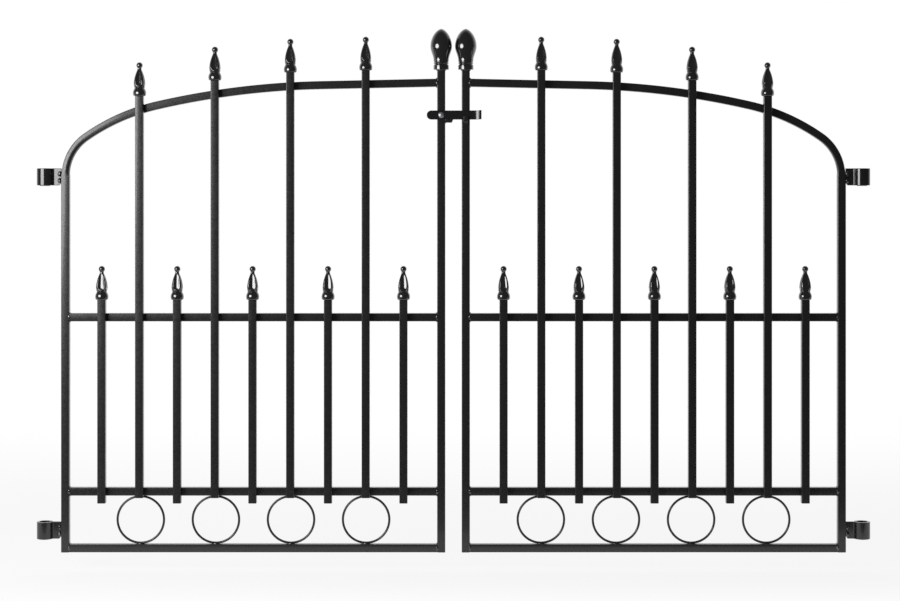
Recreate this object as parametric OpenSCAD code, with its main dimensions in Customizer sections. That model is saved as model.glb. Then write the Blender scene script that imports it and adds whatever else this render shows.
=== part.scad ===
// Double steel gate: two mirrored leaves of square bar under one arched top,
// with proud pickets, cast spearheads, rod rings, egg finials and a lift latch.
// Millimetres. X runs along the gate, the front faces -Y and Z is up.
// The origin is the centre of the lower end face of the left lower hinge pin.

/* [Leaf] */
// Width of one leaf over its two stiles
leaf_w = 719; // [480:1:1100]
// Side of the square bar of frames, rails and pickets
bar = 15.5; // [10:0.5:20]
// Gap between the two meeting stiles
meeting_gap = 30.5; // [28:0.5:60]
// Height of the meeting stile
meeting_h = 903; // [760:1:1200]
// How far the meeting stile runs above the end of the arch
stile_rise = 16.5; // [4:0.5:60]
// Underside of the mid rail above the foot of the stiles
mid_rail_z = 432; // [300:1:560]
// Underside of the lower rail above the foot of the stiles
lower_rail_z = 106; // [80:1:200]

/* [Arch] */
// Outer radius of the tight bend over the hinge stile
haunch_r = 96; // [60:1:140]
// Turn of the tight bend, degrees
haunch_turn = 55; // [45:0.5:60]
// Outer radius of the middle bend
shoulder_r = 390; // [250:1:500]
// Turn of the middle bend, degrees
shoulder_turn = 22; // [15:0.5:26]
// Outer radius of the long top bend
crown_r = 1504; // [1000:1:1800]
// Turn of the long top bend, degrees
crown_turn = 11.8; // [8:0.1:12.5]

/* [Pickets] */
// Bars between the stiles of one leaf, short ones at both ends
picket_count = 9; // [5:2:13]
// How far a short picket's bar runs above the mid rail
short_rise = 25.5; // [10:0.5:80]
// How far a short picket runs below the lower rail
short_overhang = 12; // [2:0.5:30]
// How far a tall picket's bar runs above the arch
tall_rise = 17; // [10:0.5:60]
// How far a tall picket runs below the lower rail
tall_overhang = 2; // [0:0.5:10]

/* [Spearheads] */
// Radius of the collar
collar_r = 12.3; // [11.5:0.1:15]
// Radius of the rounded edge of the collar
collar_lip_r = 5; // [3:0.1:6.5]
// Height of the waist between collar and blade
waist_z = 15; // [14:0.1:18]
// Radius of the waist
waist_r = 9.3; // [8:0.1:10]
// Height over which the blade widens from the waist
root_h = 8.8; // [4:0.1:10]
// Radius of the blade over its ridges at its widest
blade_r = 11.8; // [10.5:0.1:13]
// Height of the blade's widest place
blade_z = 20; // [18:0.1:24]
// Radius of the blade's bowed outline
blade_bow_r = 60; // [56:1:80]
// Radius of the stem that carries the ball
stem_r = 3.9; // [2.5:0.1:4.5]
// Radius of the ball at the tip
ball_r = 5.9; // [4.5:0.1:7]
// Height of the ball's centre
ball_z = 57.5; // [54:0.1:64]
// Radius of a flute at its round lower end
flute_r = 11.3; // [10:0.1:13]
// Radius of a flute at its upper end
flute_tip_r = 5.5; // [4:0.1:6.5]
// Distance of a flute's lower end from the axis
flute_out = 19; // [18:0.1:20.5]
// Distance of a flute's upper end from the axis
flute_tip_out = 10; // [9.4:0.1:10.8]
// Height of the centre of a flute's lower end
flute_z = 25.9; // [25:0.1:30]

/* [Finials] */
// Radius of the egg at its widest
egg_r = 20.4; // [16:0.1:20.5]
// Height of the egg's widest place
egg_z = 44; // [40:0.5:55]
// Height of the egg's tip
egg_tip_z = 77; // [72:0.5:100]
// Radius of the finial's foot ring
foot_r = 14.5; // [11:0.1:16]
// Height of the finial's foot ring
foot_h = 10; // [8:0.1:12]
// Bevel of the foot ring's edges
foot_bevel = 1.2; // [0.5:0.1:2.5]
// Radius of the neck under the egg
neck_r = 14.3; // [11:0.1:16]
// Height where the neck starts to swell into the egg
neck_z = 17; // [14:0.5:26]
// How pointed the egg's upper half is: 0.5 is round, 1 is a pointed bow
egg_taper = 0.63; // [0.5:0.01:1]
// Depth of the groove above the foot ring
groove_d = 1; // [0.4:0.1:2]
// Height of the groove above the foot ring
groove_h = 1.4; // [0.8:0.1:3]

/* [Rings] */
// Thickness of the ring rod
ring_rod_d = 4; // [3:0.1:8]
// Depth the ring is sunk into each rail by its welds
ring_sink = 0.4; // [0.2:0.1:1]

/* [Hinges] */
// Distance from a pin's axis to the hinge stile
pin_to_stile = 31; // [24:0.5:50]
// Height of a hinge strap
strap_h = 32; // [20:1:50]
// Thickness of a hinge strap
strap_t = 5; // [3:0.1:8]
// Clipped lower corner of a hinge strap
strap_clip = 4; // [1:0.5:8]
// Middle of the lower strap above the foot of the stiles
lower_strap_z = 41; // [30:1:70]
// Middle of the upper strap below the start of the hinge stile's bend
upper_strap_drop = 2; // [0:1:200]
// Diameter of a hinge pin
pin_d = 20; // [12:0.5:26]
// Running clearance around a hinge pin
pin_clear = 0.1; // [0.05:0.01:0.1]
// How far a pin's lower end stands below its eye
pin_stand = 1; // [0.5:0.5:10]
// How far a pin's upper end lies below the top of its eye
pin_drop = 4; // [1:0.5:10]

/* [Latch] */
// From the top of the meeting stile down to the rivet
rivet_drop = 85; // [40:1:300]
// Height of the latch bar
latch_h = 17; // [12:0.5:24]
// Thickness of the latch bar
latch_t = 4; // [3:0.1:6]
// Length of the rounded tail beyond the rivet
tail_l = 27; // [16:0.5:40]
// Gap between the latch bar and the stiles
latch_gap = 1; // [0.5:0.1:3]
// Inner radius of the finger pull's bend
pull_r = 19; // [8:0.5:26]
// Distance from the right stile's middle to the start of the finger pull
pull_start = 7; // [4:0.5:20]
// Diameter of the rivet's shank
rivet_d = 7; // [5:0.1:9]
// Running clearance around the rivet
rivet_clear = 0.1; // [0.05:0.01:0.1]
// Radius of the rivet's head
rivet_head_r = 5.4; // [4.5:0.1:8]
// Height of the rivet's head
rivet_head_h = 3; // [1.5:0.1:4]
// Length of the stop under the latch bar
stop_l = 14.5; // [8:0.5:24]
// Thickness of the stop
stop_t = 5.5; // [2:0.1:8]
// Slant of the stop's free end
stop_slant = 2.5; // [0.5:0.1:6]
// Gap between the latch bar and its stop
stop_gap = 0.3; // [0.2:0.1:1]
// Width of the keeper hook
hook_w = 8; // [5:0.5:13]
// Thickness of the keeper hook
hook_t = 3; // [2:0.1:5]
// Gap between the latch bar and the keeper hook
hook_gap = 2; // [1:0.1:5]
// Height of the keeper hook's lip above its floor
hook_lip = 9; // [5:0.5:12]

/* [Hidden] */
$fn = 48;
paint = [0.05, 0.05, 0.055];
bright = [0.72, 0.72, 0.74];
steel = [0.45, 0.45, 0.47];
half = bar / 2;
bend_steps = 16;
egg_steps = 10;
pitch = (leaf_w - bar) / (picket_count + 1);
inner_w = leaf_w - 2 * bar;
run_end = leaf_w - bar;
// Left and right pins stand this far apart
span = 2 * (pin_to_stile + leaf_w) + meeting_gap;
// The foot of the stiles lies this far below the origin
foot_drop = lower_strap_z - strap_h / 2 - pin_stand;
eye_hole_r = pin_d / 2 + pin_clear;
eye_r = eye_hole_r + strap_t;
// Centres of the three bends of the arch, as [x, z] from the start of the bends on the stile's outer face
haunch_a = 180 - haunch_turn;
shoulder_a = haunch_a - shoulder_turn;
crown_a = shoulder_a - crown_turn;
haunch_c = [haunch_r, 0];
shoulder_c = haunch_c + (haunch_r - shoulder_r) * [cos(haunch_a), sin(haunch_a)];
crown_c = shoulder_c + (shoulder_r - crown_r) * [cos(shoulder_a), sin(shoulder_a)];
crown_end = crown_c + crown_r * [cos(crown_a), sin(crown_a)];
run_slope = crown_a - 90;
haunch_end_x = haunch_c[0] + haunch_r * cos(haunch_a);
shoulder_end_x = shoulder_c[0] + shoulder_r * cos(shoulder_a);
// The bends start so low that the arch ends below the top of the meeting stile
spring_z = meeting_h - stile_rise - crown_end[1] - (run_end - crown_end[0]) * tan(run_slope);
upper_strap_z = spring_z - upper_strap_drop;
short_top_z = mid_rail_z + bar + short_rise;
rivet_z = meeting_h - rivet_drop;
// Spearhead and latch heights that follow from other sizes
flute_top_z = ball_z - ball_r;
flute_tilt = atan((flute_out - flute_tip_out) / (flute_top_z - flute_z));
flute_l = (flute_top_z - flute_z) / cos(flute_tilt);
ring_r = (lower_rail_z - bar) / 2 + ring_sink - ring_rod_d / 2;
latch_y = -half - latch_gap;
latch_front = latch_y - latch_t;
stile_step = meeting_gap + bar;
hook_floor_z = rivet_z - latch_h / 2 - hook_gap;
hook_lip_y = latch_front - hook_gap;

// Height of the arch's outer edge at x from the hinge stile's outer face
function arch_z(x) = spring_z + (
    x < haunch_end_x ? sqrt(haunch_r * haunch_r - pow(haunch_r - x, 2))
    : x < shoulder_end_x ? shoulder_c[1] + sqrt(shoulder_r * shoulder_r - pow(x - shoulder_c[0], 2))
    : x < crown_end[0] ? crown_c[1] + sqrt(crown_r * crown_r - pow(x - crown_c[0], 2))
    : crown_end[1] + (x - crown_end[0]) * tan(run_slope)
);

function picket_x(i) = half + i * pitch;

// Place a leaf drawn from the outer foot of its hinge stile
module on_left() {
    translate([pin_to_stile, 0, -foot_drop]) children();
}

module on_right() {
    translate([span, 0, 0]) mirror([1, 0, 0]) on_left() children();
}

// Points along one bend, turning clockwise from the given angle
function bend(centre, r, from, turn) =
    [
        for (i = [1 : bend_steps])
            let (a = from - turn * i / bend_steps)
                centre + r * [cos(a), sin(a)] + [0, spring_z]
    ];

// Points along all three bends, inset from the outer edge
function bends(inset) = concat(
    bend(haunch_c, haunch_r - inset, 180, haunch_turn),
    bend(shoulder_c, shoulder_r - inset, haunch_a, shoulder_turn),
    bend(crown_c, crown_r - inset, shoulder_a, crown_turn)
);

function reversed(points) = [for (i = [1 : len(points)]) points[len(points) - i]];

// Hinge stile bent over into the top rail: three tangent bends and a straight run to the meeting stile
module arched_frame() {
    translate([0, half, 0])
        rotate([90, 0, 0])
            linear_extrude(bar)
                polygon(concat(
                    [[0, 0], [0, spring_z]],
                    bends(0),
                    [[run_end, arch_z(run_end)], [run_end, arch_z(run_end) - bar / cos(run_slope)]],
                    reversed(bends(bar)),
                    [[bar, spring_z], [bar, 0]]
                ));
}

module meeting_stile() {
    translate([run_end, -half, 0]) cube([bar, bar, meeting_h]);
}

module rail(z) {
    translate([bar, -half, z]) cube([inner_w, bar, bar]);
}

module picket(i, bottom, top) {
    translate([picket_x(i) - half, -half - bar, bottom]) cube([bar, bar, top - bottom]);
}

module tall_pickets() {
    for (i = [2 : 2 : picket_count]) picket(i, lower_rail_z - tall_overhang, arch_z(picket_x(i)) + tall_rise);
}

module short_pickets() {
    for (i = [1 : 2 : picket_count]) picket(i, lower_rail_z - short_overhang, short_top_z);
}

// Hollow scoop, round below and narrowing upwards, in one of the blade's four faces
module flute() {
    translate([flute_out, 0, flute_z]) {
        sphere(flute_r);
        rotate([0, -flute_tilt, 0]) cylinder(h = flute_l, r1 = flute_r, r2 = flute_tip_r);
    }
}

module spearhead() {
    difference() {
        rotate_extrude()
            intersection() {
                translate([blade_r - blade_bow_r, blade_z]) circle(blade_bow_r, $fn = 4 * $fn);
                polygon([
                    [0, waist_z], [waist_r, waist_z], [blade_r, waist_z + root_h],
                    [blade_r, flute_top_z], [0, flute_top_z]
                ]);
            }
        for (a = [0 : 90 : 270]) rotate([0, 0, a]) flute();
    }
    rotate_extrude() {
        translate([collar_r - collar_lip_r, collar_lip_r]) circle(collar_lip_r);
        polygon([[0, 0], [collar_r - collar_lip_r, 0], [collar_r, collar_lip_r], [waist_r, waist_z], [0, waist_z]]);
    }
    translate([0, 0, waist_z]) cylinder(h = ball_z - waist_z, r = stem_r);
    translate([0, 0, ball_z]) sphere(ball_r);
}

module tall_spearheads() {
    for (i = [2 : 2 : picket_count])
        translate([picket_x(i), -bar, arch_z(picket_x(i)) + tall_rise]) spearhead();
}

module short_spearheads() {
    for (i = [1 : 2 : picket_count]) translate([picket_x(i), -bar, short_top_z]) spearhead();
}

module rings() {
    for (i = [2 : 2 : picket_count])
        translate([picket_x(i), 0, (bar + lower_rail_z) / 2])
            rotate([90, 0, 0])
                rotate_extrude() translate([ring_r, 0]) circle(ring_rod_d / 2, $fn = 24);
}

// Foot ring, groove and neck, which swells on a wave into the egg's widest place, and a tapered dome
module egg_finial() {
    translate([leaf_w - half, 0, meeting_h])
        rotate_extrude()
            polygon(concat(
                [
                    [0, 0], [foot_r - foot_bevel, 0], [foot_r, foot_bevel], [foot_r, foot_h - foot_bevel],
                    [foot_r - foot_bevel, foot_h], [neck_r - groove_d, foot_h],
                    [neck_r - groove_d, foot_h + groove_h], [neck_r, foot_h + groove_h]
                ],
                [
                    for (i = [0 : egg_steps])
                        let (u = i / egg_steps)
                            [neck_r + (egg_r - neck_r) * (1 - cos(180 * u)) / 2, neck_z + (egg_z - neck_z) * u]
                ],
                [
                    for (i = [1 : egg_steps])
                        let (u = sin(90 * i / egg_steps))
                            [egg_r * pow(1 - u * u, egg_taper), egg_z + (egg_tip_z - egg_z) * u]
                ]
            ));
}

// Strap butted to the stile, with its eye centred on the pin
module hinge(z) {
    translate([-pin_to_stile, 0, z - strap_h / 2])
        difference() {
            union() {
                cylinder(h = strap_h, r = eye_r);
                translate([0, strap_t / 2, 0])
                    rotate([90, 0, 0])
                        linear_extrude(strap_t)
                            polygon([
                                [0, 0], [pin_to_stile - strap_clip, 0], [pin_to_stile, strap_clip],
                                [pin_to_stile, strap_h], [0, strap_h]
                            ]);
            }
            translate([0, 0, -strap_h / 2]) cylinder(h = 2 * strap_h, r = eye_hole_r);
        }
}

module hinge_pin(z) {
    translate([-pin_to_stile, 0, z - strap_h / 2 - pin_stand])
        cylinder(h = strap_h + pin_stand - pin_drop, d = pin_d);
}

// Place a piece drawn about the rivet's axis
module at_rivet() {
    on_left() translate([leaf_w - half, 0, rivet_z]) children();
}

module left_arched_frame() {
    color(paint) on_left() arched_frame();
}

module left_meeting_stile() {
    color(paint) difference() {
        on_left() meeting_stile();
        at_rivet() rotate([90, 0, 0]) cylinder(h = 2 * bar, d = rivet_d, center = true);
    }
}

module left_mid_rail() {
    color(paint) on_left() rail(mid_rail_z);
}

module left_lower_rail() {
    color(paint) on_left() rail(lower_rail_z);
}

module left_bottom_rail() {
    color(paint) on_left() rail(0);
}

module left_tall_pickets() {
    color(paint) on_left() tall_pickets();
}

module left_short_pickets() {
    color(paint) on_left() short_pickets();
}

module left_tall_spearheads() {
    color(paint) on_left() tall_spearheads();
}

module left_short_spearheads() {
    color(paint) on_left() short_spearheads();
}

module left_rings() {
    color(paint) on_left() rings();
}

module left_egg_finial() {
    color(paint) on_left() egg_finial();
}

module left_upper_hinge() {
    color(paint) on_left() hinge(upper_strap_z);
}

module left_lower_hinge() {
    color(paint) on_left() hinge(lower_strap_z);
}

module right_arched_frame() {
    color(paint) on_right() arched_frame();
}

module right_meeting_stile() {
    color(paint) on_right() meeting_stile();
}

module right_mid_rail() {
    color(paint) on_right() rail(mid_rail_z);
}

module right_lower_rail() {
    color(paint) on_right() rail(lower_rail_z);
}

module right_bottom_rail() {
    color(paint) on_right() rail(0);
}

module right_tall_pickets() {
    color(paint) on_right() tall_pickets();
}

module right_short_pickets() {
    color(paint) on_right() short_pickets();
}

module right_tall_spearheads() {
    color(paint) on_right() tall_spearheads();
}

module right_short_spearheads() {
    color(paint) on_right() short_spearheads();
}

module right_rings() {
    color(paint) on_right() rings();
}

module right_egg_finial() {
    color(paint) on_right() egg_finial();
}

module right_upper_hinge() {
    color(paint) on_right() hinge(upper_strap_z);
}

module right_lower_hinge() {
    color(paint) on_right() hinge(lower_strap_z);
}

// Flat bar with a rounded tail, curled forwards into a finger pull
module latch_bar() {
    pull_x = stile_step + pull_start;
    tail_x = tail_l - latch_h / 2;
    color(paint) at_rivet() {
        translate([0, latch_y, 0])
            rotate([90, 0, 0])
                linear_extrude(latch_t)
                    difference() {
                        union() {
                            translate([-tail_x, -latch_h / 2]) square([tail_x + pull_x, latch_h]);
                            translate([-tail_x, 0]) circle(latch_h / 2);
                        }
                        circle(rivet_d / 2 + rivet_clear);
                    }
        translate([pull_x, latch_front - pull_r, -latch_h / 2])
            rotate_extrude(angle = 90)
                translate([pull_r, 0]) square([latch_t, latch_h]);
    }
}

module latch_rivet() {
    dome_r = (rivet_head_r * rivet_head_r + rivet_head_h * rivet_head_h) / (2 * rivet_head_h);
    head_y = latch_front - latch_gap;
    color(bright) at_rivet() {
        translate([0, half, 0]) rotate([90, 0, 0]) cylinder(h = half - head_y, d = rivet_d);
        intersection() {
            translate([0, head_y - rivet_head_h + dome_r, 0]) sphere(dome_r);
            translate([0, head_y, 0]) rotate([90, 0, 0]) cylinder(h = rivet_head_h, r = 2 * rivet_head_r);
        }
    }
}

// Ledge on the left meeting stile that carries the latch bar
module latch_stop() {
    color(paint) at_rivet()
        translate([half, half, -latch_h / 2 - stop_gap - stop_t])
            rotate([90, 0, 0])
                linear_extrude(half - latch_front)
                    polygon([[0, 0], [stop_l - stop_slant, 0], [stop_l, stop_t], [0, stop_t]]);
}

// Upturned hook on the front of the right meeting stile
module keeper_hook() {
    color(paint) on_left()
        translate([leaf_w - half + stile_step - hook_w / 2, 0, hook_floor_z])
            rotate([90, 0, 90])
                linear_extrude(hook_w) {
                    translate([hook_lip_y, -hook_t]) square([-half - hook_lip_y, hook_t]);
                    translate([hook_lip_y - hook_t, 0]) square([hook_t, hook_lip]);
                    intersection() {
                        translate([hook_lip_y, 0]) circle(hook_t);
                        translate([hook_lip_y - hook_t, -hook_t]) square(hook_t);
                    }
                }
}

module left_lower_pin() {
    color(steel) on_left() hinge_pin(lower_strap_z);
}

module left_upper_pin() {
    color(steel) on_left() hinge_pin(upper_strap_z);
}

module right_lower_pin() {
    color(steel) on_right() hinge_pin(lower_strap_z);
}

module right_upper_pin() {
    color(steel) on_right() hinge_pin(upper_strap_z);
}

left_arched_frame();
left_meeting_stile();
left_mid_rail();
left_lower_rail();
left_bottom_rail();
left_tall_pickets();
left_short_pickets();
left_tall_spearheads();
left_short_spearheads();
left_rings();
left_egg_finial();
left_upper_hinge();
left_lower_hinge();
right_arched_frame();
right_meeting_stile();
right_mid_rail();
right_lower_rail();
right_bottom_rail();
right_tall_pickets();
right_short_pickets();
right_tall_spearheads();
right_short_spearheads();
right_rings();
right_egg_finial();
right_upper_hinge();
right_lower_hinge();
latch_bar();
latch_rivet();
latch_stop();
keeper_hook();
left_lower_pin();
left_upper_pin();
right_lower_pin();
right_upper_pin();
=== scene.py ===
import bpy
import numpy as np
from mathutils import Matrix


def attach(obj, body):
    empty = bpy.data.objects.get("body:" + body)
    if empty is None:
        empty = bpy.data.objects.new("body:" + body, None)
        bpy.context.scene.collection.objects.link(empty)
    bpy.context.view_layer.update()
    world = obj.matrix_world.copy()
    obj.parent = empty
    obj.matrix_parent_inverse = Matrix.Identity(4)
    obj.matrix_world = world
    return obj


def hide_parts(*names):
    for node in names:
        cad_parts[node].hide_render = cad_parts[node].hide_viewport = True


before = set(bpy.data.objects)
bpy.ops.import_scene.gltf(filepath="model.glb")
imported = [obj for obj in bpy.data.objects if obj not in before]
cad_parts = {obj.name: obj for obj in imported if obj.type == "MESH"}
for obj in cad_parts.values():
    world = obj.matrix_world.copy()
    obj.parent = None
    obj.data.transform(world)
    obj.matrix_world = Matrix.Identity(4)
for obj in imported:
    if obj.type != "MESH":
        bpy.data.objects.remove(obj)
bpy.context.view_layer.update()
print("frame loaded:", len(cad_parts), "nodes")

# main sizes of the gate in millimetres, the same as in the solids
gate = {
    "leafW": 719.0, "bar": 15.5, "meetingGap": 30.5, "meetingH": 903.0, "stileRise": 16.5,
    "midRailZ": 432.0, "lowerRailZ": 106.0, "footDrop": 24.0, "pinToStile": 31.0, "span": 1530.5,
    "pickets": 9, "shortRise": 25.5, "shortOverhang": 12.0, "tallRise": 17.0, "tallOverhang": 2.0,
}
half = gate["bar"] / 2
runEnd = gate["leafW"] - gate["bar"]
pitch = runEnd / (gate["pickets"] + 1)
alongX, alongY, alongZ = np.eye(3)
sides = ("left", "right")
mm = 0.001  # the frame is in metres


# sRGB hex to linear light, channel by channel
def linearColour(hexText):
    srgb = np.array([int(hexText[i:i + 2], 16) for i in (1, 3, 5)]) / 255.0
    linear = np.where(srgb <= 0.04045, srgb / 12.92, ((srgb + 0.055) / 1.055) ** 2.4)
    return (*linear.tolist(), 1.0)


# one shader node with its settings, and links given as socket: source
def addNode(tree, kind, settings=None, links=None):
    node = tree.nodes.new(kind)
    for key, value in (settings or {}).items():
        if hasattr(node, str(key)):
            setattr(node, key, value)
        else:
            node.inputs[key].default_value = value
    for key, source in (links or {}).items():
        tree.links.new(source, node.inputs[key])
    return node


# the node tree of a material or of the world, emptied
def emptyTree(owner):
    owner.use_nodes = True
    owner.node_tree.nodes.clear()
    return owner.node_tree


# an object in the scene for a mesh, a light or a camera
def addObject(name, data):
    thing = bpy.data.objects.new(name, data)
    bpy.context.scene.collection.objects.link(thing)
    return thing


# quads between rings of columns for each copy, then the ends: "flat" caps, "pole" tips or a closed "loop"
def ringFaces(copies, rings, columns, ends):
    perCopy = rings * columns + (2 if ends == "pole" else 0)
    start = np.arange(copies)[:, None] * perCopy
    rows = rings if ends == "loop" else rings - 1
    i, j = np.meshgrid(np.arange(rows), np.arange(columns), indexing="ij")
    row, nextRow, nextColumn = i * columns, (i + 1) % rings * columns, (j + 1) % columns
    quad = np.stack([row + j, row + nextColumn, nextRow + nextColumn, nextRow + j], -1)
    faces = (quad.reshape(1, -1, 4) + start[:, :, None]).reshape(-1, 4).tolist()
    loop = np.arange(columns)
    last = (rings - 1) * columns
    if ends == "flat":
        faces += (loop[::-1][None] + start).tolist() + (last + loop[None] + start).tolist()
    if ends == "pole":
        turn = (loop + 1) % columns
        low = np.stack([np.full(columns, perCopy - 2), turn, loop], -1)
        high = np.stack([np.full(columns, perCopy - 1), last + loop, last + turn], -1)
        faces += (np.concatenate([low, high])[None] + start[:, :, None]).reshape(-1, 3).tolist()
    return faces


# rounded rectangle carried along each path: point = centre + u across + v up, with the ends rolled in;
# a bulge turns each face into a shallow arch, so its edges drop by half its width times the tangent of half the bulge;
# paths are [bars, stops, 3]; across, up and the half sizes hold for every stop, or are given stop by stop
def sweptBars(paths, across, up, halfSizes, look):
    paths = np.asarray(paths, float)
    bars, stops = paths.shape[:2]
    across, up = (np.broadcast_to(np.asarray(v, float), paths.shape) for v in (across, up))
    sizes = np.broadcast_to(np.asarray(halfSizes, float), (stops, 2))
    roll = np.linspace(0, np.pi / 2, look["endSteps"] + 1)
    inset, shift = look["endMm"] * (1 - np.sin(roll)), look["endMm"] * (1 - np.cos(roll))
    n = len(roll)
    spread = np.concatenate([np.zeros(n, int), np.arange(1, stops - 1), np.full(n, stops - 1)])
    across, up, sizes = across[:, spread], up[:, spread], sizes[spread]
    along = np.cross(across, up)
    middle = np.zeros(stops - 2)
    slide = np.concatenate([shift, middle, -shift[::-1]])
    inset = np.concatenate([inset, middle, inset[::-1]])[:, None]
    side = np.concatenate([np.sin(roll), middle + 1, np.sin(roll[::-1])])[:, None]
    lean = np.concatenate([-np.cos(roll), middle, np.cos(roll[::-1])])[:, None]
    centre = paths[:, spread] + along * slide[:, None]
    bulge = np.radians(np.broadcast_to(look.get("bulge", 0.0), stops))[spread][:, None]
    quarter = np.arange(4).repeat(look["cornerSteps"] + 2)
    step = np.tile(np.arange(look["cornerSteps"] + 2), 4)
    face = step > look["cornerSteps"]
    turn = np.where(face, np.pi / 2, bulge + (np.pi / 2 - 2 * bulge) * step / look["cornerSteps"])
    angle = quarter * np.pi / 2 + turn
    signU, signV = np.array([1, -1, -1, 1])[quarter], np.array([1, 1, -1, -1])[quarter]
    corner = look["cornerMm"]
    drop = sizes[:, ::-1] * np.tan(bulge / 2)
    halfU, halfV = sizes[:, :1], sizes[:, 1:]
    u = np.where(face, (halfU - inset) * np.round(np.cos(angle)),
                 signU * (halfU - corner - drop[:, :1]) + (corner - inset) * np.cos(angle))
    v = np.where(face, (halfV - inset) * np.round(np.sin(angle)),
                 signV * (halfV - corner - drop[:, 1:]) + (corner - inset) * np.sin(angle))
    a, b, t = across[:, :, None], up[:, :, None], along[:, :, None]
    points = centre[:, :, None] + u[..., None] * a + v[..., None] * b
    normals = (side * np.cos(angle))[..., None] * a + (side * np.sin(angle))[..., None] * b + lean[..., None] * t
    faces = ringFaces(bars, len(spread), len(quarter), "flat")
    return points.reshape(-1, 3), normals.reshape(-1, 3), faces


# radius given for every height and direction, turned about an axis at each centre; the first and last rows are tips
def turnedForm(radii, heights, centres, axes=(alongX, alongY, alongZ)):
    centres = np.asarray(centres, float)
    angle = np.linspace(0, 2 * np.pi, radii.shape[1], endpoint=False)
    a, b, t = axes
    spoke = np.cos(angle)[:, None] * a + np.sin(angle)[:, None] * b
    ring = radii[1:-1, :, None] * spoke + heights[1:-1, None, None] * t
    tips = heights[[0, -1]][:, None] * t
    local = np.concatenate([ring.reshape(-1, 3), tips])
    points = (centres[:, None] + local).reshape(-1, 3)
    return points, None, ringFaces(len(centres), radii.shape[0] - 2, radii.shape[1], "pole")


# a profile of radius and height, the same in every direction
def turnedProfile(profile, columns, *place):
    return turnedForm(np.repeat(profile[:, :1], columns, 1), profile[:, 1], *place)


# points of an arc about a centre, in degrees
def arc(centre, radius, start, end, steps):
    angle = np.radians(np.linspace(start, end, steps + 1))
    return np.stack([centre[0] + radius * np.cos(angle), centre[1] + radius * np.sin(angle)], -1)


# from a leaf's own millimetres, counted from the outer foot of its hinge stile, to the shared frame
def onLeaf(shape, side):
    points, normals, faces = shape
    points = points + [gate["pinToStile"], 0, -gate["footDrop"]]
    if side == "right":
        points = points * [-1, 1, 1] + [gate["span"], 0, 0]
        normals = None if normals is None else normals * [-1, 1, 1]
        faces = [face[::-1] for face in faces]
    return points, normals, faces


# a smooth piece, with its own normals where they are given, on its body and in place of the solids it replaces
def makePiece(name, shape, finish, body, replaced=()):
    points, normals, faces = shape
    mesh = bpy.data.meshes.new(name)
    mesh.from_pydata(points * mm, [], faces)
    mesh.shade_smooth()
    if normals is not None:
        mesh.normals_split_custom_set_from_vertices(normals / np.linalg.norm(normals, axis=1, keepdims=True))
    mesh.materials.append(finish)
    piece = addObject(name, mesh)
    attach(piece, body)
    if replaced:
        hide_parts(*replaced)


# brushed enamel on the bars: near black, satin under a thin gloss, with broad paler patches and a faint orange peel
barEnamel = {
    "name": "black_bar_enamel", "colour": "#1a1a1c", "pale": "#232325", "patchMm": 60.0, "rough": (0.24, 0.34),
    "grainMm": 7.0, "peelMm": 1.6, "peelDepthMm": 0.01, "pitMm": 0.5, "pitDepthMm": 0.002,
    "coat": 0.3, "coatRough": 0.08, "ior": 1.5,
}
# the same enamel flooded over castings and welds: a wet gloss over a softly uneven sand-cast skin
castEnamel = {
    "name": "black_cast_enamel", "colour": "#161618", "pale": "#1d1d1f", "patchMm": 14.0, "rough": (0.1, 0.18),
    "grainMm": 4.0, "peelMm": 4.5, "peelDepthMm": 0.03, "pitMm": 1.1, "pitDepthMm": 0.006,
    "coat": 1.0, "coatRough": 0.08, "ior": 1.58,
}
# a thinner flood on the smooth flat straps and the latch: mirror-like bands, but less bright
strapEnamel = dict(castEnamel, name="black_strap_enamel", peelDepthMm=0.015, coat=0.3, ior=1.54)
# detail and roughness of the enamel's noises, and the span in which most of a noise lies
enamelNoise = {"patch": (3.0, 0.5), "grain": (4.0, 0.6), "peel": (1.0, 0.5), "pit": (2.0, 0.5)}
noiseSpan = (0.3, 0.7)
# a colour mix has its two colours and its result at these sockets
mixFirst, mixSecond, mixResult = 6, 7, 2


# two noises shift the colour and the gloss and two finer ones raise the skin,
# all in real millimetres on Object coordinates
def makeEnamel(look):
    finish = bpy.data.materials.new(look["name"])
    tree = emptyTree(finish)
    place = addNode(tree, "ShaderNodeTexCoord").outputs["Object"]
    patch, grain, peel, pit = [
        addNode(tree, "ShaderNodeTexNoise",
                {"Scale": 1 / (look[name + "Mm"] * mm), "Detail": detail, "Roughness": roughness},
                {"Vector": place}).outputs["Fac"]
        for name, (detail, roughness) in enamelNoise.items()]
    tone = addNode(tree, "ShaderNodeMix", {"data_type": "RGBA", mixFirst: linearColour(look["colour"]),
                                           mixSecond: linearColour(look["pale"])}, {"Factor": patch})
    gloss = addNode(tree, "ShaderNodeMapRange", {"From Min": noiseSpan[0], "From Max": noiseSpan[1],
                                                 "To Min": look["rough"][0], "To Max": look["rough"][1]},
                    {"Value": grain})
    pitted = addNode(tree, "ShaderNodeBump", {"Strength": 1.0, "Distance": look["pitDepthMm"] * mm}, {"Height": pit})
    skin = addNode(tree, "ShaderNodeBump", {"Strength": 1.0, "Distance": look["peelDepthMm"] * mm},
                   {"Height": peel, "Normal": pitted.outputs["Normal"]})
    coat = addNode(tree, "ShaderNodeBsdfPrincipled",
                   {"IOR": look["ior"], "Coat Weight": look["coat"], "Coat IOR": look["ior"],
                    "Coat Roughness": look["coatRough"]},
                   {"Base Color": tone.outputs[mixResult], "Roughness": gloss.outputs["Result"],
                    "Normal": skin.outputs["Normal"]})
    addNode(tree, "ShaderNodeOutputMaterial", None, {"Surface": coat.outputs["BSDF"]})
    return finish


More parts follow.
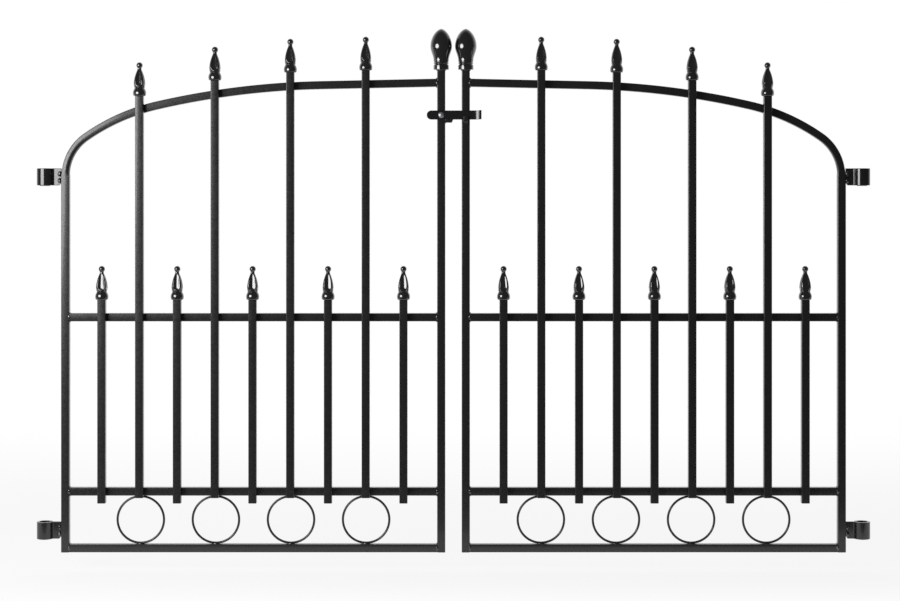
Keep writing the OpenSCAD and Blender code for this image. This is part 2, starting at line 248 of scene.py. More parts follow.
# bare metal: the zinc-bright rivet and the greased steel of the pins, both with fine level marks as from turning
rivetZinc = {"name": "bright_zinc", "colour": "#d9dadd", "dull": "#a9abb0", "rough": (0.42, 0.5), "markMm": 0.9}
pinSteel = {"name": "turned_steel", "colour": "#8f9094", "dull": "#6a6a6c", "rough": (0.3, 0.5), "markMm": 0.8}
toolMarks = {"stretch": 0.12, "detail": 3.0, "depthMm": 0.008, "strength": 0.3}


# noise stretched along the marks varies colour and gloss of a full metal
def makeMetal(look):
    finish = bpy.data.materials.new(look["name"])
    tree = emptyTree(finish)
    place = addNode(tree, "ShaderNodeTexCoord").outputs["Object"]
    stretch = addNode(tree, "ShaderNodeMapping", {"Scale": (toolMarks["stretch"], toolMarks["stretch"], 1.0)},
                      {"Vector": place})
    marks = addNode(tree, "ShaderNodeTexNoise", {"Scale": 1 / (look["markMm"] * mm), "Detail": toolMarks["detail"]},
                    {"Vector": stretch.outputs["Vector"]}).outputs["Fac"]
    tone = addNode(tree, "ShaderNodeMix", {"data_type": "RGBA", mixFirst: linearColour(look["dull"]),
                                           mixSecond: linearColour(look["colour"])}, {"Factor": marks})
    gloss = addNode(tree, "ShaderNodeMapRange", {"To Min": look["rough"][0], "To Max": look["rough"][1]},
                    {"Value": marks})
    skin = addNode(tree, "ShaderNodeBump", {"Strength": toolMarks["strength"], "Distance": toolMarks["depthMm"] * mm},
                   {"Height": marks})
    metal = addNode(tree, "ShaderNodeBsdfPrincipled", {"Metallic": 1.0},
                    {"Base Color": tone.outputs[mixResult], "Roughness": gloss.outputs["Result"],
                     "Normal": skin.outputs["Normal"]})
    addNode(tree, "ShaderNodeOutputMaterial", None, {"Surface": metal.outputs["BSDF"]})
    return finish


barPaint, castPaint, strapPaint = makeEnamel(barEnamel), makeEnamel(castEnamel), makeEnamel(strapEnamel)
zinc, steel = makeMetal(rivetZinc), makeMetal(pinSteel)
print("finishes made")

# square bar as rolled: faces bulging by a few degrees, small round edges, sawn ends with the edge taken off
barLook = {"cornerMm": 1.3, "cornerSteps": 4, "endMm": 0.6, "endSteps": 2, "bulge": 4.0}

# the bend of the hinge stile into the arch: outer radius and turn of three bends; the first is pinched as it is bent,
# by so many degrees of bulge, in shares given at how much of that bend is turned
archLook = {
    "haunch": (96.0, 55.0), "shoulder": (390.0, 22.0), "crown": (1504.0, 11.8), "bendSteps": 28,
    "pinch": 18.0, "pinchAt": (0.0, 0.14, 0.6, 1.3), "pinchShare": (0.0, 1.0, 0.9, 0.0),
}
archBends = ("haunch", "shoulder", "crown")


# edge of the arch from the start of the bends, or a line inside it by the inset:
# each bend starts where the one before it ends, in the same direction
def archEdge(inset):
    centre, heading, runs = np.array([archLook["haunch"][0], 0.0]), 180.0, []
    for name, following in zip(archBends, archBends[1:] + (None,)):
        radius, turn = archLook[name]
        run = arc(centre, radius - inset, heading, heading - turn, archLook["bendSteps"])
        runs.append(run[1:] if runs else run)
        heading -= turn
        if following:
            out = np.array([np.cos(np.radians(heading)), np.sin(np.radians(heading))])
            centre = centre + (radius - archLook[following][0]) * out
    return np.concatenate(runs), heading - 90


outerEdge, runSlope = archEdge(0.0)
rise = np.tan(np.radians(runSlope))
outerEnd = outerEdge[-1, 1] + (runEnd - outerEdge[-1, 0]) * rise
springZ = gate["meetingH"] - gate["stileRise"] - outerEnd


# height of the arch's outer edge over the leaf
def archZ(x):
    edge = np.concatenate([outerEdge, [[runEnd, outerEnd]]])
    return springZ + np.interp(x, edge[:, 0], edge[:, 1])


# middle line of the bent bar: up the stile, around the bends and along the run to the meeting stile;
# the outward direction turns from level to the slope of the run, evenly along each bend
def archedFrame():
    bend, _ = archEdge(half)
    last = np.array([runEnd, springZ + bend[-1, 1] + (runEnd - bend[-1, 0]) * rise])
    line = np.concatenate([[[half, 0.0], [half, springZ / 2]], bend + [0, springZ], [last]])
    path = np.stack([line[:, 0], np.zeros(len(line)), line[:, 1]], -1)
    ends = np.cumsum([180.0] + [-archLook[name][1] for name in archBends])
    turns = [np.linspace(a, b, archLook["bendSteps"] + 1)[1:] for a, b in zip(ends, ends[1:])]
    outward = np.radians(np.concatenate([[180.0] * 3, *turns, ends[-1:]]))
    across = np.stack([-np.cos(outward), np.zeros(len(line)), -np.sin(outward)], -1)
    turned = np.clip((np.pi - outward) / np.radians(archLook["haunch"][1]), 0, None)
    pinch = archLook["pinch"] * np.interp(turned, archLook["pinchAt"], archLook["pinchShare"])
    return sweptBars(path[None], across[None], alongY, (half, half), dict(barLook, bulge=barLook["bulge"] + pinch))


# upright bars with their foot and head at given heights
def uprights(x, y, foot, head):
    x, foot, head = np.broadcast_arrays(np.asarray(x, float), foot, head)
    y = np.full(len(x), float(y))
    paths = np.stack([np.stack([x, y, foot], -1), np.stack([x, y, head], -1)], 1)
    return sweptBars(paths, alongX, alongY, (half, half), barLook)


# level bar from stile to stile with its underside at a given height
def rail(z):
    paths = [[[gate["bar"], 0, z + half], [runEnd, 0, z + half]]]
    return sweptBars(paths, alongY, alongZ, (half, half), barLook)


tallX = half + pitch * np.arange(2, gate["pickets"] + 1, 2)
shortX = half + pitch * np.arange(1, gate["pickets"] + 1, 2)
tallTop = archZ(tallX) + gate["tallRise"]
shortTop = gate["midRailZ"] + gate["bar"] + gate["shortRise"]

leafBars = {
    "arched_frame": archedFrame(),
    "meeting_stile": uprights([gate["leafW"] - half], 0, 0.0, gate["meetingH"]),
    "mid_rail": rail(gate["midRailZ"]),
    "lower_rail": rail(gate["lowerRailZ"]),
    "bottom_rail": rail(0.0),
    "tall_pickets": uprights(tallX, -gate["bar"], gate["lowerRailZ"] - gate["tallOverhang"], tallTop),
    "short_pickets": uprights(shortX, -gate["bar"], gate["lowerRailZ"] - gate["shortOverhang"], shortTop),
}
for side in sides:
    for name, shape in leafBars.items():
        node = side + "_" + name
        makePiece(node + "_bar", onLeaf(shape, side), barPaint, side + "_leaf", [node])
print("bars swept")

# cast spearhead: barrel collar, waist, bowed blade with a scooped flute in each face, stem and ball
spearLook = {
    "collarR": 12.3, "bellyR": 14.0, "bellyZ": 5.8, "bellyTop": 30.0, "lipR": 2.8, "shoulderAt": (0.5, 0.9, 1.0),
    "waistZ": 15.0, "waistR": 9.3, "rootH": 8.8, "bladeR": 11.8, "bladeZ": 20.0, "bowR": 60.0,
    "stemR": 3.9, "ballR": 5.9, "ballZ": 57.5, "fluteR": (11.3, 5.5), "fluteOut": (19.0, 9.2), "fluteZ": 25.9,
    "fluteEnd": 11.0, "fluteRound": 4, "coreR": 3.3, "turn": 2.0, "creaseMm": 0.12, "softMm": 0.3,
    "columns": 96, "lipSteps": 8, "bellySteps": 12, "bladeRows": 52, "ballSteps": 16,
}


# collar: a small arc at the lip running on into the long arc of the belly, then straight in to the waist;
# blade, radius at a height and direction: the bowed outline, cut back to the near side of a slanting scoop in each
# face, the two blended where they meet so that the ridges are rounded as on a casting
def spearhead(centres):
    s = spearLook
    topZ = s["ballZ"] - s["ballR"]
    middle = np.array([s["collarR"] - s["bellyR"], s["bellyZ"]])
    inner = s["bellyR"] - s["lipR"]
    low = np.arcsin((s["bellyZ"] - s["lipR"]) / inner)
    lipMiddle = middle + inner * np.array([np.cos(low), -np.sin(low)])
    lip = arc(lipMiddle, s["lipR"], -90, -np.degrees(low), s["lipSteps"])
    belly = arc(middle, s["bellyR"], -np.degrees(low), s["bellyTop"], s["bellySteps"])[1:]
    waist = np.array([s["waistR"], s["waistZ"]])
    shoulder = belly[-1] + (waist - belly[-1]) * np.array(s["shoulderAt"])[:, None]
    bladeZ = np.linspace(s["waistZ"], topZ, s["bladeRows"])
    bladeZ[0] += s["creaseMm"]
    bow = s["bladeR"] - s["bowR"] + np.sqrt(s["bowR"] ** 2 - (bladeZ - s["bladeZ"]) ** 2)
    root = s["waistR"] + (s["bladeR"] - s["waistR"]) * (bladeZ - s["waistZ"]) / s["rootH"]
    blade = np.stack([np.maximum(np.minimum(bow, root), s["stemR"]), bladeZ], -1)
    neck = np.degrees(np.arccos(s["stemR"] / s["ballR"]))
    ball = arc((0, s["ballZ"]), s["ballR"], -neck, 90, s["ballSteps"])
    profile = np.concatenate([[[0, 0]], lip, belly, shoulder, blade, ball])
    profile[-1, 0] = 0
    radius, height = profile[:, :1], profile[:, 1]
    angle = np.linspace(0, 2 * np.pi, s["columns"], endpoint=False)
    off = (angle + np.radians(s["turn"]) + np.pi / 4) % (np.pi / 2) - np.pi / 4
    share = np.minimum((height - s["fluteZ"]) / (topZ - s["fluteZ"]), 1)[:, None]
    out = s["fluteOut"][0] + (s["fluteOut"][1] - s["fluteOut"][0]) * share
    scoop = s["fluteR"][0] + (s["fluteR"][1] - s["fluteR"][0]) * share
    below = np.minimum(height - s["fluteZ"], 0)[:, None] / s["fluteEnd"]
    scoop2 = scoop ** 2 * np.maximum(1 - below ** s["fluteRound"], 0)
    reach2 = scoop2 - (out * np.sin(off)) ** 2
    far = s["fluteOut"][0] + s["fluteR"][0]  # a direction that misses the scoop
    near = np.where(reach2 > 0, out * np.cos(off) - np.sqrt(np.maximum(reach2, 0)), far)
    soft = s["softMm"]
    blend = -soft * np.log(np.exp(-radius / soft) + np.exp(-near / soft))
    inBlade = ((height > s["waistZ"]) & (height <= topZ))[:, None]
    cut = np.maximum(np.minimum(radius, blend), np.minimum(radius, s["coreR"]))
    return turnedForm(np.where(inBlade, cut, radius + 0 * off), height, centres)


# egg finial: rounded foot, groove, thin bead, and a neck that swells into the egg
eggLook = {
    "eggR": 20.4, "eggZ": 44.0, "tipZ": 77.0, "taper": 0.63, "neckR": 14.3, "neckZ": 17.0, "throatR": 13.9,
    "footR": 14.5, "footH": 9.6, "bevel": 1.9, "bevelTurn": 85.0, "edgeMm": 0.8, "grooveR": 13.2, "grooveZ": 10.4,
    "beadR": 14.3, "beadMm": 2.0, "beadZ": 12.2, "beadTurn": 80.0,
    "columns": 96, "footSteps": 6, "beadSteps": 8, "eggRows": 25,
}


# profile turned about the stile's axis: the flank is half a cosine wave from the neck to the widest place,
# and the dome is the widest radius times a power of 1 - u squared, with u from the widest place to the tip
def eggFinial(centres):
    e = eggLook
    edge, bevel, bead = e["edgeMm"], e["bevel"], e["beadMm"] / 2
    throatZ = (e["beadZ"] + bead + e["neckZ"]) / 2
    foot = np.concatenate([arc((e["footR"] - edge, edge), edge, -90, 0, e["footSteps"]),
                           arc((e["footR"] - bevel, e["footH"] - bevel), bevel, 0, e["bevelTurn"], e["footSteps"])])
    ridge = arc((e["beadR"] - bead, e["beadZ"]), bead, -e["beadTurn"], e["beadTurn"], e["beadSteps"])
    share = np.linspace(0, 1, e["eggRows"])
    flank = np.stack([e["neckR"] + (e["eggR"] - e["neckR"]) * (1 - np.cos(np.pi * share)) / 2,
                      e["neckZ"] + (e["eggZ"] - e["neckZ"]) * share], -1)
    u = np.sin(np.pi / 2 * share[1:])
    dome = np.stack([e["eggR"] * np.maximum(1 - u ** 2, 0) ** e["taper"],
                     e["eggZ"] + (e["tipZ"] - e["eggZ"]) * u], -1)
    profile = np.concatenate([[[0, 0]], foot, [[e["grooveR"], e["grooveZ"]]], ridge, [[e["throatR"], throatZ]],
                              flank, dome])
    return turnedProfile(profile, e["columns"], centres)


# ring of thin rod between the lower and the bottom rail
ringLook = {"rodMm": 4.4, "sinkMm": 0.4, "columns": 14, "stops": 120}


# rod circle carried around the ring's circle
def rodRings():
    r = ringLook
    rod = r["rodMm"] / 2
    ringR = (gate["lowerRailZ"] - gate["bar"]) / 2 + r["sinkMm"] - rod
    around = np.linspace(0, 2 * np.pi, r["stops"], endpoint=False)[:, None]
    tube = np.linspace(0, 2 * np.pi, r["columns"], endpoint=False)[None]
    reach, depth = ringR + rod * np.cos(tube), rod * np.sin(tube) * np.ones_like(around)
    local = np.stack([reach * np.cos(around), depth, reach * np.sin(around)], -1)
    middleZ = (gate["bar"] + gate["lowerRailZ"]) / 2
    middle = np.stack([tallX, np.zeros(len(tallX)), np.full(len(tallX), middleZ)], -1)
    points = (middle[:, None] + local.reshape(1, -1, 3)).reshape(-1, 3)
    return points, None, ringFaces(len(tallX), r["stops"], r["columns"], "loop")


tallHeads = np.stack([tallX, np.full(len(tallX), -gate["bar"]), tallTop], -1)
shortHeads = np.stack([shortX, np.full(len(shortX), -gate["bar"]), np.full(len(shortX), shortTop)], -1)
castings = {
    "tall_spearheads": (spearhead(tallHeads), castPaint),
    "short_spearheads": (spearhead(shortHeads), castPaint),
    "egg_finial": (eggFinial([[gate["leafW"] - half, 0, gate["meetingH"]]]), castPaint),
    "rings": (rodRings(), barPaint),
}
for side in sides:
    for name, (shape, paint) in castings.items():
        node = side + "_" + name
        makePiece(node + "_form", onLeaf(shape, side), paint, side + "_leaf", [node])
print("castings and rings made")

# hinge strap: flat bar bent to the front and rolled around the pin, its free end stopping short of the tail;
# meet and wrap are degrees around the pin, where the bend runs into the eye and how far the eye goes on
strapLook = {
    "heightMm": 32.0, "thickMm": 5.0, "clipMm": 4.0, "eyeR": 12.6, "meet": -20.0, "wrap": 315.0,
    "lowerZ": 41.0, "upperDrop": 2.0, "bendStops": 15, "eyeStops": 61,
    "cornerMm": 0.9, "cornerSteps": 3, "endMm": 0.7, "endSteps": 2,
}


# middle line in plan, from the stile: straight, a bend towards the front of the radius that meets the eye in its own
# direction, then around the pin; the section stands upright, and is clipped at the stile
def hingeStrap(z):
    s = strapLook
    meet = np.radians(s["meet"])
    turn = np.pi / 2 + meet
    bendR = -s["eyeR"] * np.sin(meet) / (1 - np.cos(turn))
    bendX = s["eyeR"] * np.cos(meet) + bendR * np.sin(turn)
    t = np.linspace(0, turn, s["bendStops"])
    bend = np.stack([bendX - bendR * np.sin(t), -bendR * (1 - np.cos(t))], -1)
    a = meet - np.radians(np.linspace(0, s["wrap"], s["eyeStops"]))[1:]
    eye = s["eyeR"] * np.stack([np.cos(a), np.sin(a)], -1)
    tail = [[gate["pinToStile"], 0.0], [gate["pinToStile"] - s["clipMm"], 0.0]]
    line = np.concatenate([tail, bend, eye])
    heading = np.concatenate([[0.0, 0.0], t, a + np.pi / 2])
    clip = np.zeros(len(line))
    clip[0] = s["clipMm"]
    path = np.stack([line[:, 0] - gate["pinToStile"], line[:, 1], z + clip / 2], -1)
    along = np.stack([-np.cos(heading), -np.sin(heading), np.zeros(len(line))], -1)
    across = np.cross(alongZ, along)
    sizes = np.stack([np.full(len(line), s["thickMm"] / 2), (s["heightMm"] - clip) / 2], -1)
    return sweptBars(path[None], across[None], alongZ, sizes, s)


upperZ = springZ - strapLook["upperDrop"]
for side in sides:
    for name, z in (("upper_hinge", upperZ), ("lower_hinge", strapLook["lowerZ"])):
        node = side + "_" + name
        makePiece(node + "_strap", onLeaf(hingeStrap(z), side), strapPaint, side + "_leaf", [node])

# hinge pins: turned rod with chamfered ends, inside the eyes
pinLook = {
    "dMm": 20.0, "standMm": 1.0, "dropMm": 4.0, "chamferMm": 0.8, "edgeMm": 0.02, "bandMm": 0.05, "columns": 48,
}


# straight profile with a chamfer at the lower end, mirrored to the upper end; narrow bands keep the edges crisp
def hingePin(z):
    p = pinLook
    length = strapLook["heightMm"] + p["standMm"] - p["dropMm"]
    r, c, e = p["dMm"] / 2, p["chamferMm"], p["edgeMm"]
    lower = np.array([[0, 0], [r - c, 0], [r - c + e, e], [r, c], [r, c + p["bandMm"]]])
    upper = (lower * [1, -1] + [0, length])[::-1]
    centre = [-gate["pinToStile"], 0, z - strapLook["heightMm"] / 2 - p["standMm"]]
    return turnedProfile(np.concatenate([lower, upper]), p["columns"], [centre])


for side in sides:
    for name, z in (("upper_pin", upperZ), ("lower_pin", strapLook["lowerZ"])):
        node = side + "_" + name
        makePiece(node + "_rod", onLeaf(hingePin(z), side), steel, "hinge_pins", [node])
print("hinges made")

# latch: flat bar with a round tail, curled forwards into a finger pull, on a bright rivet;
# each bend of the curl is an inner radius and a turn in degrees
latchLook = {
    "rivetDrop": 85.0, "heightMm": 17.0, "thickMm": 4.0, "gapMm": 1.0, "tailMm": 27.0, "tailStart": 12.0,
    "tailStops": 12, "bends": ((46.0, 14.0), (14.0, 20.0), (2.0, 56.0)), "bendSteps": 10,
    "pullReach": 29.0, "pullOut": 19.0, "cornerMm": 0.35, "cornerSteps": 3, "endMm": 0.6, "endSteps": 2,
}
rivetX, rivetZ = gate["leafW"] - half, gate["meetingH"] - latchLook["rivetDrop"]
stileStep = gate["meetingGap"] + gate["bar"]
latchFront = -half - latchLook["gapMm"] - latchLook["thickMm"]


# middle line in plan: along the bar, then the bends, each tighter than the one before, and a straight lip to the front;
# the height follows a half circle at the tail
def latchBar():
    s = latchLook
    tip, thick = s["heightMm"] / 2, s["thickMm"] / 2
    t = np.radians(np.linspace(s["tailStart"], 90, s["tailStops"]))
    middleY = latchFront + thick
    tail = np.stack([-(s["tailMm"] - tip) - tip * np.cos(t), np.full(len(t), middleY)], -1)
    curl, heading, turned = np.array([[0.0, middleY]]), 90.0, [90.0]
    for inner, turn in s["bends"]:
        run = arc((0, 0), inner + thick, heading, heading - turn, s["bendSteps"])
        curl = np.concatenate([curl, curl[-1] + run[1:] - run[0]])
        turned.extend(np.linspace(heading, heading - turn, s["bendSteps"] + 1)[1:])
        heading -= turn
    curl += [stileStep + s["pullReach"] - thick - curl[-1, 0], 0]
    lip = [[curl[-1, 0], latchFront - s["pullOut"]]]
    line = np.concatenate([tail, curl, lip])
    a = np.radians(np.concatenate([np.full(len(t), 90.0), turned, [0.0]]))
    along = np.stack([np.sin(a), -np.cos(a), np.zeros(len(line))], -1)
    across = np.cross(alongZ, along)
    tall = np.concatenate([tip * np.sin(t), np.full(len(line) - len(t), tip)])
    sizes = np.stack([np.full(len(line), thick), tall], -1)
    path = np.stack([line[:, 0] + rivetX, line[:, 1], np.full(len(line), rivetZ)], -1)
    return sweptBars(path[None], across[None], alongZ, sizes, s)


makePiece("latch_flat_bar", onLeaf(latchBar(), "left"), strapPaint, "latch", ["latch_bar"])

# bright rivet: a shank through the stile and the bar, and a low domed head
rivetLook = {
    "shankMm": 7.0, "chamferMm": 0.3, "headR": 5.4, "headH": 2.4, "rimMm": 0.1, "underMm": 0.05, "columns": 48,
    "domeSteps": 14,
}


# shank, flat underside and domed head, turned about a line to the front
def latchRivet():
    r = rivetLook
    under = half - latchFront + latchLook["gapMm"]
    domeR = (r["headR"] ** 2 + r["headH"] ** 2) / (2 * r["headH"])
    edge = np.degrees(np.arcsin((domeR - r["headH"]) / domeR))
    dome = arc((0, under + r["headH"] - domeR), domeR, edge, 90, r["domeSteps"])
    dome[-1, 0] = 0
    shank, c, flat = r["shankMm"] / 2, r["chamferMm"], under - r["underMm"]
    stem = [[0, 0], [shank - c, 0], [shank, c], [shank, flat]]
    rim = [[r["headR"] - r["rimMm"], flat], [r["headR"], under + r["rimMm"]]]
    centre = [rivetX, half, rivetZ]
    return turnedProfile(np.concatenate([stem, rim, dome[1:]]), r["columns"], [centre], (alongX, alongZ, -alongY))


makePiece("latch_rivet_dome", onLeaf(latchRivet(), "left"), zinc, "left_leaf", ["latch_rivet"])

# ledge under the bar, and the upturned hook on the other stile
ledgeLook = {
    "lengthMm": 14.5, "thickMm": 5.5, "slantMm": 2.5, "gapMm": 0.05,
    "cornerMm": 0.15, "cornerSteps": 2, "endMm": 0.15, "endSteps": 2,
}
hookLook = {
    "widthMm": 8.0, "thickMm": 3.0, "gapMm": 2.0, "lipMm": 9.0, "bendMm": 0.3, "bendSteps": 7,
    "cornerMm": 0.6, "cornerSteps": 2, "endMm": 0.5, "endSteps": 2,
}
barUnder = rivetZ - latchLook["heightMm"] / 2
ledgeTop, hookFloor = barUnder - ledgeLook["gapMm"], barUnder - hookLook["gapMm"]


# flat bar from the stile's side, its free end slanting back at the bottom: the section is sheared along its way
def latchLedge():
    s = ledgeLook
    depth = half - latchFront
    start = np.array([rivetX + half, half - depth / 2, ledgeTop - s["thickMm"] / 2])
    paths = [[start, start + s["lengthMm"] * alongX]]
    points, normals, faces = sweptBars(paths, alongY, alongZ, (depth / 2, s["thickMm"] / 2), s)
    share = (points[:, 0] - start[0]) / s["lengthMm"]
    points[:, 0] -= share * s["slantMm"] * (ledgeTop - points[:, 2]) / s["thickMm"]
    return points, normals, faces


# strip from the front of the stile, out under the bar and up before it, around one tight bend
def keeperHook():
    s = hookLook
    thick = s["thickMm"] / 2
    bendR = thick + s["bendMm"]
    lipY, lowZ = latchFront - s["gapMm"] - thick, hookFloor - thick
    bend = arc((lipY + bendR, lowZ + bendR), bendR, -90, -180, s["bendSteps"])
    line = np.concatenate([[[-half, lowZ]], bend, [[lipY, hookFloor + s["lipMm"]]]])
    a = np.radians(np.concatenate([[-90.0], np.linspace(-90, -180, s["bendSteps"] + 1), [-180.0]]))
    along = np.stack([np.zeros(len(line)), np.sin(a), -np.cos(a)], -1)
    across = np.cross(alongX, along)
    path = np.stack([np.full(len(line), rivetX + stileStep), line[:, 0], line[:, 1]], -1)
    return sweptBars(path[None], across[None], alongX, (thick, s["widthMm"] / 2), s)


makePiece("latch_ledge_plate", onLeaf(latchLedge(), "left"), barPaint, "left_leaf", ["latch_stop"])
makePiece("keeper_hook_strip", onLeaf(keeperHook(), "left"), barPaint, "right_leaf", ["keeper_hook"])
print("latch made")

# weld beads under the paint: small rippled lumps along the joints; three numbers are half of length, width and height
weldLook = {
    "columns": 12, "rows": 14, "ripple": 0.14, "ripplesPerBead": 3.5, "rippleLean": 0.8, "seed": 7, "sinkMm": 0.2,
    "railEdge": (6.0, 2.2, 1.9), "railFront": (4.4, 2.6, 1.4), "railBack": (5.2, 2.0, 0.8),
    "archEdge": (6.0, 2.4, 2.0), "archFront": (3.8, 2.4, 1.2), "archBack": (5.4, 2.2, 0.9), "archSlope": 1.04,
    "strap": (5.2, 4.5, 4.5), "strapOut": 2.6, "strapLifts": (5.6, -7.1), "finial": (5.4, 2.0, 1.8),
    "ring": (5.5, 2.6, 2.4), "picket": (5.6, 1.8, 1.6), "ledge": (5.0, 1.782, 1.584), "hook": (4.2, 1.98, 1.782),
}


# each bead is a long ellipsoid, swollen and pinched along its length by a wave of its own phase
def weldBeads(beads):
    centre, along, out, sizes = (np.array(v, float) for v in zip(*beads))
    w = weldLook
    phase = np.random.default_rng(w["seed"]).uniform(0, 2 * np.pi, (len(centre), 1, 1))
    v = np.linspace(-np.pi / 2, np.pi / 2, w["rows"])[None, 1:-1, None]
    f = np.linspace(0, 2 * np.pi, w["columns"], endpoint=False)[None, None]
    wave = 1 + w["ripple"] * np.sin(w["ripplesPerBead"] * np.pi * np.sin(v) + phase + w["rippleLean"] * np.cos(f))
    across = np.cross(along, out)
    length, width, height = (sizes[:, i, None, None] for i in range(3))
    run = length * np.sin(v) * np.ones_like(f)
    lift = height * np.cos(f) * np.cos(v) * wave
    spread = width * np.sin(f) * np.cos(v) * wave
    local = sum(amount[..., None] * line[:, None, None]
                for amount, line in ((run, along), (lift, out), (spread, across)))
    tips = np.stack([-along * sizes[:, :1], along * sizes[:, :1]], 1)
    points = np.concatenate([local.reshape(len(centre), -1, 3), tips], 1) + centre[:, None]
    return points.reshape(-1, 3), None, ringFaces(len(centre), w["rows"] - 2, w["columns"], "pole")


# direction of unit length
def diagonal(x, y, z):
    return np.array([x, y, z]) / np.linalg.norm([x, y, z])


# beads of one leaf, each with its middle, the line it follows, its way out and its sizes:
# rail ends, arch end, straps, finial foot, rings and picket crossings
def leafBeads():
    w, bar, beads = weldLook, gate["bar"], []
    front, back = -half + w["sinkMm"], half - w["sinkMm"]
    for z in (gate["midRailZ"], gate["lowerRailZ"], 0.0):
        for x, inward in ((bar, 1), (runEnd, -1)):
            beads.append(([x, 0, z + bar], alongY, diagonal(inward, 0, 1), w["railEdge"]))
            if z > 0:
                beads.append(([x, 0, z], alongY, diagonal(inward, 0, -1), w["railEdge"]))
            beads.append(([x, front, z + half], alongZ, -alongY, w["railFront"]))
            beads.append(([x, back, z + half], alongZ, alongY, w["railBack"]))
    archTop = archZ(runEnd)
    beads += [([runEnd, 0, archTop], alongY, diagonal(-1, 0, 1), w["archEdge"]),
              ([runEnd, 0, archTop - bar], alongY, diagonal(-1, 0, -1), w["archEdge"]),
              ([runEnd, front, archTop - half], alongZ, -alongY, w["archFront"]),
              ([runEnd, back, archTop - half], alongZ, alongY, w["archBack"])]
    for strapZ in (upperZ, strapLook["lowerZ"]):
        for face in (-1, 1):
            for lift in w["strapLifts"]:
                spot = [-w["strapOut"], face * strapLook["thickMm"] / 2, strapZ + lift]
                beads.append((spot, alongZ, diagonal(-1, face, 0), w["strap"]))
    for x, y in ((1, 0), (-1, 0), (0, 1), (0, -1)):
        spot = [gate["leafW"] - half + x * half, y * half, gate["meetingH"] - w["sinkMm"]]
        beads.append((spot, np.array([-y, x, 0.0]), diagonal(x, y, -1), w["finial"]))
    for x in tallX:
        beads.append(([x, 0, bar], alongX, alongZ, w["ring"]))
        beads.append(([x, 0, gate["lowerRailZ"]], alongX, -alongZ, w["ring"]))
    for x in (*tallX, *shortX):
        crossings = [(z + bar, z) for z in (gate["midRailZ"], gate["lowerRailZ"])]
        if x in tallX:
            crossings.append((archZ(x), archZ(x) - bar * w["archSlope"]))
        for top, low in crossings:
            beads.append(([x, -half, top], alongX, diagonal(0, 1, 1), w["picket"]))
            beads.append(([x, -half, low], alongX, diagonal(0, 1, -1), w["picket"]))
    return beads


ledgeSpot = [rivetX + half, 0, ledgeTop - ledgeLook["thickMm"]]
hookSpot = [rivetX, -half, hookFloor - hookLook["thickMm"]]
latchBeads = {
    "left": (ledgeSpot, alongY, diagonal(1, 0, -1), weldLook["ledge"]),
    "right": (hookSpot, alongX, diagonal(0, -1, -1), weldLook["hook"]),
}
for side in sides:
    beads = weldBeads(leafBeads() + [latchBeads[side]])
    makePiece(side + "_weld_beads", onLeaf(beads, side), castPaint, side + "_leaf")
print("weld beads laid")

# camera where the photograph was taken: level, a little under the arch, framed by shift alone
cameraLook = {"place": (0.7587, -3.747, 0.654), "lensMm": 80.0, "sensorMm": 36.0, "shiftY": -0.1228}
camera = addObject("photo_camera", bpy.data.cameras.new("photo_camera"))
camera.data.lens, camera.data.sensor_width = cameraLook["lensMm"], cameraLook["sensorMm"]
camera.data.shift_y = cameraLook["shiftY"]
camera.location, camera.rotation_euler = cameraLook["place"], (np.pi / 2, 0, 0)
bpy.context.scene.camera = camera

# studio: one soft panel at the left front, and a dim room that grows white behind the gate
studio = {
    "panel": {"place": (-0.83, -1.56, 0.88), "aim": (0.5, 0.0, 0.88), "size": (1.5, 1.1), "watts": 36.0},
    "roomColour": "#ffffff", "roomFront": 0.1, "roomBack": 1.0, "roomFade": (-0.2, 0.7),
    "floorZ": -0.06, "floorM": 30.0, "floorFrontM": 0.45,
}


# soft oval light: its -Z axis looks from its place to the point it is aimed at
def addSoftbox(name, look):
    lamp = bpy.data.lights.new(name, "AREA")
    lamp.shape, lamp.energy = "ELLIPSE", look["watts"]
    lamp.size, lamp.size_y = look["size"]
    box = addObject(name, lamp)
    box.location = look["place"]
    x, y, z = np.array(look["aim"]) - look["place"]
    box.rotation_euler = (np.arctan2(np.hypot(x, y), -z), 0, np.arctan2(-x, y))
    box.visible_camera = False


# whether a ray comes straight from the camera, and whether it was mirrored or let through
def rayKinds(tree):
    path = addNode(tree, "ShaderNodeLightPath")
    mirrored = addNode(tree, "ShaderNodeMath", {"operation": "MAXIMUM"},
                       {0: path.outputs["Is Glossy Ray"], 1: path.outputs["Is Transmission Ray"]})
    return path.outputs["Is Camera Ray"], mirrored.outputs[0]


addSoftbox("left_panel", studio["panel"])

# room: its glow fades in from front to back, and is full white to the camera and to mirrored rays that leave backwards
room = bpy.data.worlds.new("studio_room")
bpy.context.scene.world = room
tree = emptyTree(room)
direct, mirrored = rayKinds(tree)
direction = addNode(tree, "ShaderNodeSeparateXYZ", None,
                    {0: addNode(tree, "ShaderNodeTexCoord").outputs["Generated"]}).outputs["Y"]
fadeStart, fadeEnd = studio["roomFade"]
glow = addNode(tree, "ShaderNodeMapRange", {"interpolation_type": "SMOOTHSTEP", "From Min": fadeStart,
                                            "From Max": fadeEnd, "To Min": studio["roomFront"],
                                            "To Max": studio["roomBack"]}, {"Value": direction})
behind = addNode(tree, "ShaderNodeMath", {"operation": "GREATER_THAN", 1: fadeEnd}, {0: direction})
shown = addNode(tree, "ShaderNodeMath", {"operation": "MULTIPLY_ADD"}, {0: mirrored, 1: behind.outputs[0], 2: direct})
level = addNode(tree, "ShaderNodeMath", {"operation": "MAXIMUM"}, {0: glow.outputs["Result"], 1: shown.outputs[0]})
backdrop = addNode(tree, "ShaderNodeBackground", {"Color": linearColour(studio["roomColour"])},
                   {"Strength": level.outputs[0]})
addNode(tree, "ShaderNodeOutputWorld", None, {"Surface": backdrop.outputs[0]})

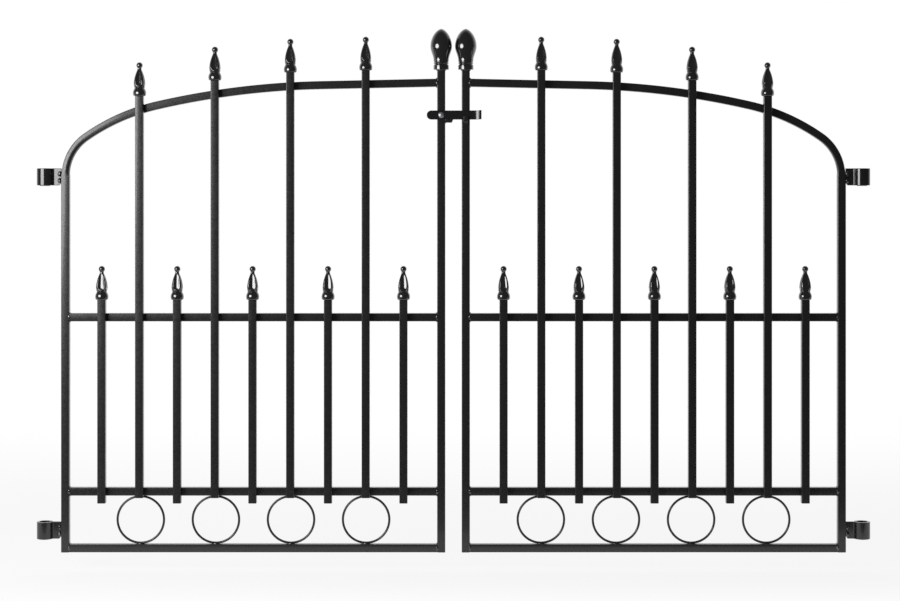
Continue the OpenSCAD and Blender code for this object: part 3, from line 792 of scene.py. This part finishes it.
# floor: pale paper that reads white to the camera and in reflections, and keeps a soft shadow near the gate
floorLook = {"colour": "#f2f2f2", "whiteNear": 0.86, "whiteFar": 1.0, "nearM": 0.35, "farM": 2.4, "frontTimes": 5.4}
paper = bpy.data.materials.new("pale_floor_paper")
tree = emptyTree(paper)
direct, mirrored = rayKinds(tree)
matt = addNode(tree, "ShaderNodeBsdfDiffuse", {"Color": linearColour(floorLook["colour"])})
white = addNode(tree, "ShaderNodeEmission", {"Strength": 1.0})
depth = addNode(tree, "ShaderNodeSeparateXYZ", None,
                {0: addNode(tree, "ShaderNodeTexCoord").outputs["Object"]}).outputs["Y"]
before = addNode(tree, "ShaderNodeMath", {"operation": "MULTIPLY", 1: -floorLook["frontTimes"]}, {0: depth})
away = addNode(tree, "ShaderNodeMath", {"operation": "MAXIMUM"}, {0: depth, 1: before.outputs[0]})
fade = addNode(tree, "ShaderNodeMapRange", {"interpolation_type": "SMOOTHSTEP", "From Min": floorLook["nearM"],
                                            "From Max": floorLook["farM"], "To Min": floorLook["whiteNear"],
                                            "To Max": floorLook["whiteFar"]}, {"Value": away.outputs[0]})
plain = addNode(tree, "ShaderNodeMath", {"operation": "MAXIMUM"}, {0: direct, 1: mirrored})
seen = addNode(tree, "ShaderNodeMath", {"operation": "MULTIPLY"}, {0: plain.outputs[0], 1: fade.outputs["Result"]})
blend = addNode(tree, "ShaderNodeMixShader", None, {0: seen.outputs[0], 1: matt.outputs[0], 2: white.outputs[0]})
addNode(tree, "ShaderNodeOutputMaterial", None, {"Surface": blend.outputs[0]})
wide, front = studio["floorM"], studio["floorFrontM"]
corners = np.array([[-wide, -front], [wide, -front], [wide, wide], [-wide, wide]])
floorMesh = bpy.data.meshes.new("studio_floor")
floorMesh.from_pydata(np.column_stack([corners, np.full(4, studio["floorZ"])]), [], [[0, 1, 2, 3]])
floorMesh.materials.append(paper)
floor = addObject("studio_floor", floorMesh)
bpy.context.scene.view_settings.view_transform = "Standard"
print("studio set")
